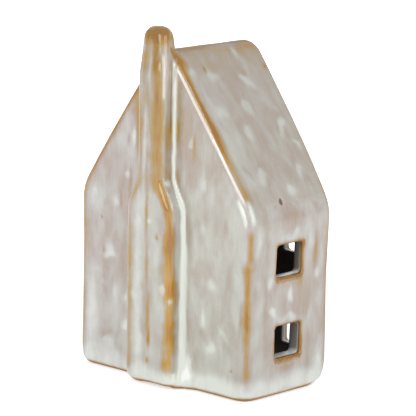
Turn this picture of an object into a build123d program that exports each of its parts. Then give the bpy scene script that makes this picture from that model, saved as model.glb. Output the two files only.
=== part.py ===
from build123d import *
import os
from math import atan2, cos, tan

os.makedirs("parts", exist_ok=True)

# Tealight that the house stands over
CUP_DIAMETER = 38.0  # across the rolled rim
CUP_HEIGHT = 16.5  # from the table to the top of the rolled rim
CUP_GAUGE = 0.3  # thickness of the drawn sheet
CUP_RIM = 0.9  # diameter of the rolled bead
CUP_DRAFT = 0.5  # how much smaller the radius is at the foot
CUP_FOOT_BEND = 1.4  # sloped bend between wall and floor
PANEL_RADIUS = 12.5  # raised panel in the floor of the cup
PANEL_RISE = 0.6
WAX_GAP = 0.15  # shrink gap between the wax and the metal
WAX_FREEBOARD = 2.2  # rim of the cup above the wax
WAX_EDGE = 0.6  # soft upper edge of the wax
DISH_RADIUS = 7.0  # shallow dip of the wax around the wick
DISH_DEPTH = 0.7
WICK_DIAMETER = 1.6
WICK_FIT = 0.06  # gap around the wick
WICK_STRAIGHT = 3.0  # upright run of the wick above the wax
WICK_BEND_RADIUS = 10.0
WICK_BEND_ANGLE = 28.0
SUSTAINER_DIAMETER = 13.0
SUSTAINER_GAUGE = 0.3
NECK_GAUGE = 0.3
NECK_HEIGHT = 4.5

# Walls and roof of the house
WALL = 5.5  # thickness of the casting
FOOT_THICKENING = 3.6  # how much thicker the side walls are at the foot than at the eaves
CANDLE_CLEARANCE = 3.5  # between the cup and the two gable walls
HOUSE_WIDTH = 105.2  # across a gable
EAVE_HEIGHT = 83.0  # where the wall and roof planes cross
RIDGE_HEIGHT = 158.5  # where the two roof planes cross
EAVE_RADIUS = 22.0
RIDGE_RADIUS = 10.5
CORNER_RADIUS = 4.2  # upright corners and the edges of the gables
BASE_RADIUS = 3.0  # outer edge of the rim that the house stands on
RIM_INNER_RADIUS = 0.8
HOLLOW_RADIUS = 2.5  # inside corners of the casting

# Chimney on the closed gable
CHIMNEY_PROJECTION = 8.2
CHIMNEY_SHIFT = -1.5  # off the middle of the gable
BREAST_WIDTH = 28.4
BREAST_HEIGHT = 82.0  # where the shoulders start
SHOULDER_RISE = 11.5
SHOULDER_RADIUS = 8.0
STACK_WIDTH = 16.4  # between the shoulders and the narrowed top
STACK_TOP_WIDTH = 13.0
STACK_TAPER = 21.0  # height over which the stack narrows
STACK_BEND_RADIUS = 30.0
STACK_ABOVE_ROOF = 10.8  # top of the stack above the rounded ridge
STACK_BITE = 3.4  # how far the chimney reaches back into the gable wall
STACK_TOP_RADIUS = 5.6
CHIMNEY_EDGE_RADIUS = 4.0
CHIMNEY_BACK_RADIUS = 3.4
CHIMNEY_CORNER_RADIUS = 1.6  # inner corner along the gable

# Windows
WINDOW_WIDTH = 16.4
WINDOW_HEIGHT = 14.0
WINDOW_CORNER = 1.2
WINDOW_EDGE = 0.7  # broken outer arris
SIDE_LOW_Z = 24.2  # middle of the lower side windows
SIDE_HIGH_Z = 60.8  # middle of the upper side windows
FRONT_LOW_Z = 22.5
FRONT_HIGH_Z = 65.0
FRONT_MARGIN = 8.5  # from the side of the house to the nearest window of the front

# The house takes its depth from the tealight, and the origin is the middle of the footprint at table level
house_depth = CUP_DIAMETER + 2 * CANDLE_CLEARANCE + 2 * WALL
middle_y = CHIMNEY_PROJECTION / 2
closed_gable_y = middle_y - house_depth / 2
front_gable_y = middle_y + house_depth / 2
half_width = HOUSE_WIDTH / 2
pitch = atan2(RIDGE_HEIGHT - EAVE_HEIGHT, half_width)
inner_half_width = half_width - WALL
inner_ridge = RIDGE_HEIGHT - WALL / cos(pitch)
inner_eave = inner_ridge - inner_half_width * tan(pitch)
roof_top = RIDGE_HEIGHT - RIDGE_RADIUS * (1 / cos(pitch) - 1)
chimney_height = roof_top + STACK_ABOVE_ROOF
shoulder_top = BREAST_HEIGHT + SHOULDER_RISE
taper_start = chimney_height - STACK_TAPER
front_window_x = half_width - FRONT_MARGIN - WINDOW_WIDTH / 2
half_recess = BREAST_WIDTH / 2 - WALL

# Radii and levels of the tealight, measured from its own axis and from the table
cup_top_radius = CUP_DIAMETER / 2 - CUP_RIM + CUP_GAUGE
cup_foot_radius = cup_top_radius - CUP_DRAFT
bead_radius = CUP_RIM / 2
bead_z = CUP_HEIGHT - bead_radius
panel_z = CUP_GAUGE + PANEL_RISE
wax_top = CUP_HEIGHT - WAX_FREEBOARD
wick_radius = WICK_DIAMETER / 2
neck_inner = wick_radius + WICK_FIT
neck_outer = neck_inner + NECK_GAUGE
disc_top = panel_z + SUSTAINER_GAUGE
neck_top = disc_top + NECK_HEIGHT
sustainer_radius = SUSTAINER_DIAMETER / 2
candle_plane = Plane(origin=(0, middle_y, 0), x_dir=(1, 0, 0), z_dir=(0, -1, 0))
candle_axis = Axis((0, middle_y, 0), (0, 0, 1))


def house_outline(plane, half, eave, ridge, foot, toe, eave_radius, ridge_radius):
    """Outline of a gable with rounded eaves and ridge, narrower by a toe on each side at its foot."""
    with BuildSketch(plane) as outline:
        with BuildLine():
            Polyline(
                (toe - half, foot),
                (half - toe, foot),
                (half, eave),
                (0, ridge),
                (-half, eave),
                close=True,
            )
        make_face()
        fillet(outline.vertices().sort_by(Axis.Y)[-1], ridge_radius)
        fillet(outline.vertices().filter_by(lambda v: abs(v.Y - eave) < 0.01), eave_radius)
    return outline.sketch


# Outside of the walls and roof as a solid, with rounded gable edges
with BuildPart() as body:
    extrude(
        house_outline(
            Plane.XZ.offset(-front_gable_y),
            half_width,
            EAVE_HEIGHT,
            RIDGE_HEIGHT,
            0,
            0,
            EAVE_RADIUS,
            RIDGE_RADIUS,
        ),
        amount=house_depth,
    )
    gable_edges = body.faces().filter_by(Axis.Y).edges()
    fillet(gable_edges.filter_by(lambda e: e.center().Z > 0.01), CORNER_RADIUS)

# Chimney with a wide breast, sloped shoulders and a stack that narrows to its top
with BuildPart() as chimney:
    with BuildSketch(Plane.XZ.offset(-closed_gable_y - STACK_BITE)) as chimney_front:
        with BuildLine():
            Polyline(
                (CHIMNEY_SHIFT - BREAST_WIDTH / 2, 0),
                (CHIMNEY_SHIFT + BREAST_WIDTH / 2, 0),
                (CHIMNEY_SHIFT + BREAST_WIDTH / 2, BREAST_HEIGHT),
                (CHIMNEY_SHIFT + STACK_WIDTH / 2, shoulder_top),
                (CHIMNEY_SHIFT + STACK_WIDTH / 2, taper_start),
                (CHIMNEY_SHIFT + STACK_TOP_WIDTH / 2, chimney_height),
                (CHIMNEY_SHIFT - STACK_TOP_WIDTH / 2, chimney_height),
                (CHIMNEY_SHIFT - STACK_WIDTH / 2, taper_start),
                (CHIMNEY_SHIFT - STACK_WIDTH / 2, shoulder_top),
                (CHIMNEY_SHIFT - BREAST_WIDTH / 2, BREAST_HEIGHT),
                close=True,
            )
        make_face()
        fillet(chimney_front.vertices().group_by(Axis.Y)[-1], STACK_TOP_RADIUS)
        shoulders = chimney_front.vertices().filter_by(
            lambda v: abs(v.Y - BREAST_HEIGHT) < 0.01 or abs(v.Y - shoulder_top) < 0.01
        )
        fillet(shoulders, SHOULDER_RADIUS)
        bends = chimney_front.vertices().filter_by(lambda v: abs(v.Y - taper_start) < 0.01)
        fillet(bends, STACK_BEND_RADIUS)
    extrude(amount=CHIMNEY_PROJECTION + STACK_BITE)
    front_edges = chimney.faces().sort_by(Axis.Y)[0].edges()
    fillet(front_edges.filter_by(lambda e: e.center().Z > 0.01), CHIMNEY_EDGE_RADIUS)
    back_edges = chimney.faces().sort_by(Axis.Y)[-1].edges()
    fillet(back_edges.filter_by(lambda e: e.center().Z > 0.01), CHIMNEY_BACK_RADIUS)

# Hollow of the casting, open below
with BuildPart() as hollow:
    extrude(
        house_outline(
            Plane.XZ.offset(-front_gable_y + WALL),
            inner_half_width,
            inner_eave,
            inner_ridge,
            -WALL,
            FOOT_THICKENING,
            EAVE_RADIUS - WALL,
            RIDGE_RADIUS - WALL,
        ),
        amount=house_depth - 2 * WALL,
    )
    hollow_edges = hollow.faces().filter_by(Axis.Y).edges()
    fillet(hollow_edges.filter_by(lambda e: e.center().Z > 0.01), HOLLOW_RADIUS)

# Recess behind the chimney breast, so that the casting keeps its thickness there
with BuildPart() as recess:
    with BuildSketch(Plane.XZ.offset(-closed_gable_y - WALL - HOLLOW_RADIUS)) as recess_front:
        with BuildLine():
            Polyline(
                (CHIMNEY_SHIFT - half_recess, -WALL),
                (CHIMNEY_SHIFT + half_recess, -WALL),
                (CHIMNEY_SHIFT + half_recess, BREAST_HEIGHT),
                (CHIMNEY_SHIFT - half_recess, BREAST_HEIGHT),
                close=True,
            )
        make_face()
        fillet(recess_front.vertices().group_by(Axis.Y)[-1], 0.8 * half_recess)
    extrude(amount=CHIMNEY_PROJECTION + HOLLOW_RADIUS)
    recess_edges = recess.faces().sort_by(Axis.Y)[0].edges()
    fillet(recess_edges.filter_by(lambda e: e.center().Z > 0.01), HOLLOW_RADIUS)

# The fired house: one casting with cut windows and a rounded rim to stand on
with BuildPart() as house_shell:
    add(body.part)
    add(chimney.part)
    corner_edges = house_shell.edges().filter_by(
        lambda e: abs(e.center().Y - closed_gable_y) < 0.01
        and abs(e.center().X - CHIMNEY_SHIFT) < BREAST_WIDTH * 0.6
        and e.center().Z > 0.01
    )
    fillet(corner_edges, CHIMNEY_CORNER_RADIUS)
    add(hollow.part, mode=Mode.SUBTRACT)
    add(recess.part, mode=Mode.SUBTRACT)
    with BuildSketch(Plane.YZ) as side_windows:
        with Locations((middle_y, SIDE_LOW_Z), (middle_y, SIDE_HIGH_Z)):
            RectangleRounded(WINDOW_WIDTH, WINDOW_HEIGHT, WINDOW_CORNER)
    extrude(amount=HOUSE_WIDTH, both=True, mode=Mode.SUBTRACT)
    with BuildSketch(Plane.XZ.offset(-front_gable_y - WALL)) as front_windows:
        with Locations(
            (-front_window_x, FRONT_LOW_Z),
            (front_window_x, FRONT_LOW_Z),
            (-front_window_x, FRONT_HIGH_Z),
            (front_window_x, FRONT_HIGH_Z),
        ):
            RectangleRounded(WINDOW_WIDTH, WINDOW_HEIGHT, WINDOW_CORNER)
    extrude(amount=2.5 * WALL, mode=Mode.SUBTRACT)
    side_faces = house_shell.faces().filter_by(Axis.X)
    front_faces = house_shell.faces().filter_by(Axis.Y)
    cut_faces = side_faces.filter_by(lambda f: abs(abs(f.center().X) - half_width) < 0.01)
    cut_faces += front_faces.filter_by(lambda f: abs(f.center().Y - front_gable_y) < 0.01)
    chamfer([edge for face in cut_faces for wire in face.inner_wires() for edge in wire.edges()], WINDOW_EDGE)
    rim = house_shell.faces().filter_by(Axis.Z).sort_by(Axis.Z)[0]
    fillet(rim.outer_wire().edges(), BASE_RADIUS)
    rim = house_shell.faces().filter_by(Axis.Z).sort_by(Axis.Z)[0]
    fillet([edge for wire in rim.inner_wires() for edge in wire.edges()], RIM_INNER_RADIUS)
house_shell.part.label = "house_shell"
export_step(house_shell.part, "parts/house_shell.step")

# Drawn cup: raised floor panel, bent foot, slightly flared wall and rolled rim
with BuildPart() as tealight_cup:
    with BuildSketch(candle_plane) as cup_profile:
        with BuildLine():
            Polyline(
                (0, PANEL_RISE),
                (PANEL_RADIUS, PANEL_RISE),
                (PANEL_RADIUS + PANEL_RISE, 0),
                (cup_foot_radius, 0),
                (cup_top_radius, bead_z),
                (cup_top_radius - CUP_GAUGE, bead_z),
                (cup_foot_radius - CUP_GAUGE, CUP_GAUGE),
                (PANEL_RADIUS + PANEL_RISE, CUP_GAUGE),
                (PANEL_RADIUS, panel_z),
                (0, panel_z),
                close=True,
            )
        make_face()
        foot = cup_profile.vertices().filter_by(lambda v: v.X > cup_foot_radius - 0.01 and v.Y < 0.01)
        chamfer(foot, CUP_FOOT_BEND)
        foot_inside = cup_profile.vertices().filter_by(
            lambda v: abs(v.X - cup_foot_radius + CUP_GAUGE) < 0.01 and abs(v.Y - CUP_GAUGE) < 0.01
        )
        chamfer(foot_inside, CUP_FOOT_BEND - 0.4 * CUP_GAUGE)
        with Locations((CUP_DIAMETER / 2 - bead_radius, bead_z)):
            RegularPolygon(bead_radius, 8, major_radius=True)
    revolve(axis=candle_axis)
tealight_cup.part.label = "tealight_cup"
export_step(tealight_cup.part, "parts/tealight_cup.step")

# Wax cast in the cup around the wick and over the disc that carries it
wax_foot_radius = cup_foot_radius - CUP_GAUGE - WAX_GAP
wax_top_radius = wax_foot_radius + CUP_DRAFT * wax_top / bead_z
with BuildPart() as tealight_wax:
    with BuildSketch(candle_plane) as wax_profile:
        with BuildLine():
            Polyline(
                (PANEL_RADIUS + PANEL_RISE + WAX_GAP, CUP_GAUGE),
                (wax_foot_radius, CUP_GAUGE),
                (wax_top_radius, wax_top),
                (DISH_RADIUS, wax_top),
                (neck_inner, wax_top - DISH_DEPTH),
                (neck_inner, neck_top + WAX_GAP),
                (neck_outer + WAX_GAP, neck_top + WAX_GAP),
                (neck_outer + WAX_GAP, disc_top),
                (sustainer_radius + WAX_GAP, disc_top),
                (sustainer_radius + WAX_GAP, panel_z),
                (PANEL_RADIUS + WAX_GAP, panel_z),
                close=True,
            )
        make_face()
        foot = wax_profile.vertices().filter_by(
            lambda v: abs(v.X - wax_foot_radius) < 0.01 and abs(v.Y - CUP_GAUGE) < 0.01
        )
        chamfer(foot, CUP_FOOT_BEND)
        chamfer(wax_profile.vertices().filter_by(lambda v: v.X > wax_top_radius - 0.01), WAX_EDGE)
    revolve(axis=candle_axis)
tealight_wax.part.label = "tealight_wax"
export_step(tealight_wax.part, "parts/tealight_wax.step")

# Tinned disc with a neck around the foot of the wick
with BuildPart() as wick_sustainer:
    with BuildSketch(candle_plane) as sustainer_profile:
        with BuildLine():
            Polyline(
                (neck_inner, panel_z),
                (sustainer_radius, panel_z),
                (sustainer_radius, disc_top),
                (neck_outer, disc_top),
                (neck_outer, neck_top),
                (neck_inner, neck_top),
                close=True,
            )
        make_face()
    revolve(axis=candle_axis)
wick_sustainer.part.label = "wick_sustainer"
export_step(wick_sustainer.part, "parts/wick_sustainer.step")

# Wick, upright through the wax and leaning over at its tip
wick_turn = wax_top + WICK_STRAIGHT
with BuildPart() as wick:
    with BuildLine(candle_plane) as wick_path:
        stem = Line((0, panel_z), (0, wick_turn))
        JernArc(start=stem @ 1, tangent=stem % 1, radius=WICK_BEND_RADIUS, arc_size=-WICK_BEND_ANGLE)
    with BuildSketch(Plane(origin=(0, middle_y, panel_z), z_dir=(0, 0, 1))):
        Circle(wick_radius)
    sweep(path=wick_path.wires()[0])
wick.part.label = "wick"
export_step(wick.part, "parts/wick.step")
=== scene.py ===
from math import atan2, cos, pi, radians, sin

import bpy
import numpy as np
from mathutils import Matrix, Vector


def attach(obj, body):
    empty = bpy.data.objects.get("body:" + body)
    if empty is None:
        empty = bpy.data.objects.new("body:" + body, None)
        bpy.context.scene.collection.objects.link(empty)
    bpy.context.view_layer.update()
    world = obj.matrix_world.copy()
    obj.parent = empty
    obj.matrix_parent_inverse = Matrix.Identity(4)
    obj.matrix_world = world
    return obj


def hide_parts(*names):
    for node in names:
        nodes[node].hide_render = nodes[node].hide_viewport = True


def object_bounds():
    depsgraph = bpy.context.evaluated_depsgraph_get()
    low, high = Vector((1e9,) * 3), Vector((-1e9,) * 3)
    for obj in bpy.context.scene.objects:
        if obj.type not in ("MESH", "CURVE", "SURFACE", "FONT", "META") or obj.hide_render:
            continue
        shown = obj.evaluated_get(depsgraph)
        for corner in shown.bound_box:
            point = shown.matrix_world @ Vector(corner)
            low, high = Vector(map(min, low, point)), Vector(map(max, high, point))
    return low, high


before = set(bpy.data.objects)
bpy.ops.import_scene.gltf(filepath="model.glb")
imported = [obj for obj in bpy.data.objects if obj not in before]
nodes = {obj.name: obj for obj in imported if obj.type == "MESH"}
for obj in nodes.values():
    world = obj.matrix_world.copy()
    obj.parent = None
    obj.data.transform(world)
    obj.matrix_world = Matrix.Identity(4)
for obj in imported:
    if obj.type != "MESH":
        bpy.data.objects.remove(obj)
cad_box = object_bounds()
scene = bpy.context.scene

# Sizes of the solids in millimetres: the box from the frame, the rest as the part's source has them
MM = 1000.0
LOW, HIGH = ([round(MM * value, 2) for value in corner] for corner in cad_box)
HALF, FRONT, TOP = HIGH
CHIM_Y = LOW[1]
EAVE, RIDGE = 83.0, 158.5
RIDGE_ROUND, EAVE_ROUND = 10.5, 22.0
BACK, MID_Y = -23.9, 4.1
CHIM_X, CHIM_BURIED = -1.5, -10.0
BREAST_HALF, SHOULDER_LOW, SHOULDER_HIGH = 14.2, 80.0, 95.5
STACK_HALF, STACK_TAPER, TAPER_TALL = 8.2, 1.7, 21.0
STACK_BACK, STACK_FREE = -20.5, 140.0
WALL = 5.5
TOE, TOE_TOP, TOE_TALL = 3.6, 80.0, 85.5
NICHE_HALF, NICHE_TOP = BREAST_HALF - WALL, 82.0
PITCH = atan2(RIDGE - EAVE, HALF)
NX, NZ = sin(PITCH), cos(PITCH)
WINDOW = (8.2, 7.0)
SIDE_WINDOWS = (24.2, 60.8)
FRONT_WINDOWS = [(side * 35.9, height) for height in (22.5, 65.0) for side in (-1, 1)]


def smooth(low, high, x):
    """An eased step from 0 at low to 1 at high."""
    t = np.clip((x - low) / (high - low), 0.0, 1.0)
    return t * t * (3 - 2 * t)


def lattice(ix, iy, iz, seed):
    """A fixed value from -1 to 1 for each cell corner, from a whole-number hash."""
    h = (ix * 73856093) ^ (iy * 19349663) ^ (iz * 83492791) ^ (seed * 40503 + 977)
    h = ((h ^ (h >> 13)) * 1274126177) & 0xFFFFFFFF
    h = ((h ^ (h >> 15)) * 668265263) & 0xFFFFFFFF
    return ((h ^ (h >> 16)) & 0xFFFF) / 32767.5 - 1.0


def noise(p, seed):
    """Smooth value noise from -1 to 1 at points p, one cell per unit."""
    base = np.floor(p).astype(np.int64)
    f = p - base
    u = f * f * f * (f * (f * 6 - 15) + 10)
    total = np.zeros(len(p))
    for i in (0, 1):
        for j in (0, 1):
            for k in (0, 1):
                w = (u[:, 0] if i else 1 - u[:, 0]) * (u[:, 1] if j else 1 - u[:, 1])
                w = w * (u[:, 2] if k else 1 - u[:, 2])
                total += w * lattice(base[:, 0] + i, base[:, 1] + j, base[:, 2] + k, seed)
    return total


def outline_depth(x, z):
    """Depth inside the rounded gable outline."""
    ax = np.abs(x)
    roof = (RIDGE - z) * NZ - ax * NX
    d = np.minimum(HALF - ax, roof)
    top = RIDGE - RIDGE_ROUND / NZ
    r = np.hypot(ax, z - top)
    ridge = (z > top) & (ax * NZ < (z - top) * NX)
    d = np.where(ridge, RIDGE_ROUND - r, d)
    cx = HALF - EAVE_ROUND
    cz = RIDGE - (EAVE_ROUND + cx * NX) / NZ
    r = np.hypot(ax - cx, z - cz)
    eave = (ax > cx) & (z > cz) & ((z - cz) * NX < (ax - cx) * NZ)
    return np.where(eave, EAVE_ROUND - r, d)


def chimney_half(z):
    """Half width of the chimney at a height."""
    stack = STACK_HALF - STACK_TAPER * np.clip((z - TOP + TAPER_TALL) / TAPER_TALL, 0, 1)
    return stack + (BREAST_HALF - STACK_HALF) * (1 - smooth(SHOULDER_LOW, SHOULDER_HIGH, z))


def chimney_depth(x, z):
    """Depth inside the chimney's outline as seen from the back."""
    return np.minimum(chimney_half(z) - np.abs(x - CHIM_X), TOP - z)


def window_gap(u, v, half_u, half_v):
    """Signed gap to a window's edge, negative in the opening."""
    du, dv = np.abs(u) - half_u, np.abs(v) - half_v
    outer = np.hypot(np.maximum(du, 0), np.maximum(dv, 0))
    return outer + np.minimum(np.maximum(du, dv), 0)


def mesh_points(me):
    """The vertices of a mesh in millimetres."""
    co = np.empty(len(me.vertices) * 3)
    me.vertices.foreach_get("co", co)
    return co.reshape(-1, 3) * MM


def set_points(me, points):
    """Puts the vertices of a mesh at points in millimetres."""
    me.vertices.foreach_set("co", (points / MM).ravel())
    me.update()


def shade_smooth(me):
    me.polygons.foreach_set("use_smooth", np.ones(len(me.polygons), bool))


def mesh_normals(me):
    no = np.empty(len(me.vertices) * 3, np.float32)
    me.vertex_normals.foreach_get("vector", no)
    return no.reshape(-1, 3).astype(float)


def new_object(name, me):
    ob = bpy.data.objects.new(name, me)
    scene.collection.objects.link(ob)
    return ob


def applied(ob):
    """The object's mesh with its modifiers applied."""
    me = bpy.data.meshes.new_from_object(ob.evaluated_get(bpy.context.evaluated_depsgraph_get()))
    ob.modifiers.clear()
    old = ob.data
    ob.data = me
    bpy.data.meshes.remove(old)
    return me


def body_depth(p):
    """Depth below the outside of the house, over walls, roof and chimney together."""
    x, y, z = p.T
    body = np.minimum(outline_depth(x, z), np.minimum(y - BACK, FRONT - y))
    back = np.where(z > STACK_FREE, STACK_BACK, CHIM_BURIED)
    chimney = np.minimum(chimney_depth(x, z), np.minimum(y - CHIM_Y, back - y))
    return np.maximum(body, chimney)


def hollow_depth(p):
    """Depth into the hollow of the casting, negative in its walls."""
    x, y, z = p.T
    wall = WALL + TOE * np.clip((TOE_TOP - z) / TOE_TALL, 0, 1)
    room = np.minimum(outline_depth(x, z) - wall, np.minimum(y - BACK, FRONT - y) - WALL)
    niche = np.minimum(NICHE_HALF - np.abs(x - CHIM_X), y - CHIM_Y - WALL)
    niche = np.minimum(niche, np.minimum(NICHE_TOP - z, CHIM_BURIED - y))
    return np.maximum(room, niche)


# Skin of the house: an even net over the casting, with most of its inner faces taken out
NET, INNER_DEPTH, INNER_DROP = 0.85, 4.9, 0.85
house = new_object("house_skin", nodes["house_shell"].data.copy())
house.data.materials.clear()
net = house.modifiers.new("net", "REMESH")
net.mode = "VOXEL"
net.voxel_size = NET / MM
wrap = house.modifiers.new("wrap", "SHRINKWRAP")
wrap.target = nodes["house_shell"]
wrap.wrap_method = "NEAREST_SURFACEPOINT"
soften = house.modifiers.new("soften", "SMOOTH")
soften.factor = 0.5
soften.iterations = 3
me = applied(house)
depth = body_depth(mesh_points(me))
group = house.vertex_groups.new(name="inner")
inner = np.flatnonzero(depth > INNER_DEPTH)
group.add(inner.tolist(), 1.0, "REPLACE")
thin = house.modifiers.new("thin", "DECIMATE")
thin.vertex_group = "inner"
thin.vertex_group_factor = 1000.0
thin.use_collapse_triangulate = False
thin.ratio = 1 - INNER_DROP * len(inner) / len(depth)
me = applied(house)
house.vertex_groups.clear()
p = mesh_points(me)
n = mesh_normals(me)

# Hand-formed surface: waves, dents, walls that lean in to the foot, a rounded foot and a domed stack
WAVE_CELL, DENT_CELL = 27.0, 9.0
SINK, WAVE_DEEP, DENT_DEEP, ROOF_WAVE = 0.1, 0.35, 0.14, 0.3
LEAN_RIGHT, LEAN_LEFT = 0.75, 0.55
BOW_RIGHT, BOW_LEFT = 0.9, 0.5
STACK_LEAN, STACK_BULGE = 0.07, 0.1
BANK_OUT, TIP_UP = 2.6, 1.2
x, y, z = p.T
depth = body_depth(p)
outside = 1 - smooth(1.5, 4.0, depth)
foot = smooth(0.5, 6.0, z)
wave = 0.5 + 0.5 * noise(p / WAVE_CELL + 11.3, 1)
dent = 0.5 + 0.5 * noise(p / DENT_CELL + 4.7, 2)
slack = np.where(outline_depth(x, z) < 2.0, smooth(100.0, 84.0, z), 1.0)
move = -(SINK + WAVE_DEEP * wave * slack + DENT_DEEP * dent) * outside * foot
move += ROOF_WAVE * (wave - 0.5) * (1 - slack) * outside
p = p + n * move[:, None]
wall = outside * smooth(44.0, 50.0, np.abs(x))
p[:, 0] -= np.sign(x) * wall * np.where(x > 0, LEAN_RIGHT, LEAN_LEFT) * smooth(82.0, 52.0, z)
bow = np.sin(np.pi * np.clip((z - 86.0) / 62.0, 0, 1)) * outside * smooth(-27.5, -25.0, y)
bow *= smooth(8.0, 3.0, outline_depth(x, z)) * np.where(x > 0, BOW_RIGHT, BOW_LEFT)
p[:, 0] += np.sign(x) * bow * NX
p[:, 2] += bow * NZ
stack = smooth(138.0, 146.0, z) * smooth(-26.0, -29.0, y)
p[:, 1] += stack * STACK_LEAN * np.maximum(z - 138.0, 0)
stack_back = smooth(-27.5, -22.5, y) * smooth(-18.5, -21.0, y) * smooth(141.0, 147.0, z)
p[:, 1] -= stack_back * STACK_BULGE * np.clip(z - 148.0, -4.0, 12.0) * (np.abs(x - CHIM_X) < 9)
skin_deep = 1 - smooth(0.0, 12.0, depth)
# Corners of the foot: place, reach around it, pull inward and height of the pull
for cx, cy, reach, pull, tall in (
    (HALF, FRONT, 14.0, 3.3, 14.0),
    (HALF, BACK, 9.0, 2.3, 12.0),
    (-HALF, BACK, 9.0, 2.1, 12.0),
    (-HALF, FRONT, 9.0, 1.5, 12.0),
    (CHIM_X + BREAST_HALF, CHIM_Y, 9.0, 0.4, 14.0),
    (CHIM_X - BREAST_HALF, CHIM_Y, 11.0, 2.5, 11.0),
):
    away = np.hypot(x - cx, y - cy)
    low_down = np.clip(1 - z / tall, 0, 1) ** 3
    near = smooth(reach, 0.0, away) * low_down * skin_deep * pull
    p[:, 0] -= np.sign(cx) * near * 0.7
    p[:, 1] -= np.sign(cy) * near * 0.7
    p[:, 2] += 0.35 * near * smooth(-1.5, 2.0, z)
from_corner = np.hypot(x - CHIM_X - BREAST_HALF, y - BACK)
bank = smooth(10.0, 0.0, from_corner) * np.clip(1 - z / 24.0, 0, 1) ** 1.5 * outside
p[:, 0] += BANK_OUT * bank
p[:, 1] -= BANK_OUT * bank
tip = smooth(-12.0, 2.0, x) * smooth(-25.0, -29.0, y) * np.clip(1 - z / 9.0, 0, 1) ** 2 * skin_deep
p[:, 2] += TIP_UP * tip
p = np.clip(p, LOW, HIGH)
set_points(me, p)

# Where the glaze breaks, runs and pools
x, y, z = p.T
depth = body_depth(p)
outline = outline_depth(x, z)
chim_in = chimney_depth(x, z)
on_chimney = smooth(-25.6, -27.2, y)
off_slope = np.abs((RIDGE - z) * NZ - np.abs(x) * NX)
on_roof = smooth(2.6, 0.8, off_slope) * smooth(84.0, 88.0, z) * (1 - on_chimney)
right = x > 0
inside = smooth(-0.8, -0.2, hollow_depth(p))
drift = noise(p / 13.0 + 3.1, 8)
girth = 1 + 0.3 * noise(p / 8.0 + 7.7, 9) + 0.15 * noise(p / 3.0 + 2.2, 10)
sway_u = 0.7 * noise(p / 4.4 + 1.7, 21) + 0.35 * noise(p / 2.0 + 5.3, 22)
sway_v = 1.1 * noise(p / 4.4 + 8.1, 23)

# Each face: how far a point belongs to it, and the coordinate across it
FACES = {
    "gable": (smooth(3.4, 1.4, np.abs(y - BACK)) * (1 - on_chimney), x),
    "chimney": (smooth(4.4, 2.4, np.abs(y - CHIM_Y)), x),
    "side": (smooth(3.4, 1.4, HALF - x) * smooth(88, 84, z), y),
    "roof": (on_roof * right, y),
    "front": (smooth(3.4, 1.4, FRONT - y), x),
    "left": (smooth(3.4, 1.4, HALF + x) * smooth(88, 84, z), y),
    "left_roof": (on_roof * ~right, y),
}


def stroke(field, face, a, b, wide, up, down, amount, lean=0.0):
    """Adds one run of glaze at (a, b) of a face, with its own reach up and down."""
    mask, u = FACES[face]
    v = z - b + sway_v * min(1.0, 0.3 * (up + down))
    span = np.where(v > 0, up, down)
    w = wide * (1 - 0.3 * np.clip(v / up, 0, 1))
    across = (u - a - lean * v + sway_u * min(1.0, 0.5 * wide)) / w
    field += amount * mask * np.exp(-(across**2) - (v / span) ** 2)


def band(field, at, centre, wide, amount, power=2):
    """Adds a band of glaze along an edge, where at measures across that edge."""
    field += amount * np.exp(-(np.abs((at - centre) / wide) ** power))


ochre, white, mauve, speck, sill, painted_reveal_shade, edge = np.zeros((7, len(p)))

# Edges of the two gables and the ridge, where the glaze runs thin
near_edge = (y - BACK) - outline
far_edge = (FRONT - y) - outline
clear = 1 - on_chimney
slope = smooth(84, 92, z)
golden = 0.68 + 0.47 * smooth(98, 122, z)
verge = 0.06 * (140 - z)
narrow = 2.4 - 1.0 * smooth(134, 147, z)
band(ochre, near_edge, 0.8 + verge + 0.3 * drift, narrow * girth, golden * right * slope * clear)
# Painted highlight along the right verge: where the cream line lies across the edge and how strong it is
gleam_at = near_edge + 2.0 - 0.92 * verge + 0.2 * drift
gleam = right * smooth(86, 91, z) * smooth(144, 140, z) * clear
# Painted highlights: two white spots either side of the near corner at the eave
band(white, near_edge, -2.2, 1.1, 1.6 * right * smooth(77, 81, z) * smooth(91, 87, z))
band(white, near_edge, 3.4, 1.1, 1.6 * right * smooth(78, 82, z) * smooth(91, 87, z))
band(ochre, near_edge, 0.8 + 0.5 * drift, 2.0 * girth, 0.85 * right * smooth(61, 65, z) * smooth(79, 73, z))
down_corner = (1.06 - 0.34 * smooth(34, 20, z)) * right * smooth(2, 6, z) * smooth(65, 59, z)
band(ochre, near_edge, -0.6 + 0.7 * drift, 2.4 * girth, down_corner)
left_verge = 1.15 * ~right * smooth(0.5, 2.5, z) * clear
band(ochre, near_edge, -0.6 - 0.9 * (1 - slope), 2.2 + 0.2 * (1 - slope), left_verge)
band(ochre, far_edge, 1.3, 1.6, 0.35 + 0.65 * smooth(20, 70, z))
crest = smooth(144.5, 148.5, z) * (y > BACK - 1) * clear
band(ochre, x, 1.6 + drift, 4.6 * girth, 0.5 * crest * (1 + 0.8 * drift))
band(speck, x, 0.8, 4.6 * girth, 0.56 * crest)
band(edge, x, 0.5, 6.0, crest)
band(edge, far_edge, 1.0, 2.2 * girth, 1.0)
band(edge, near_edge, 0.4, 2.2, ~right * clear)

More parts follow.
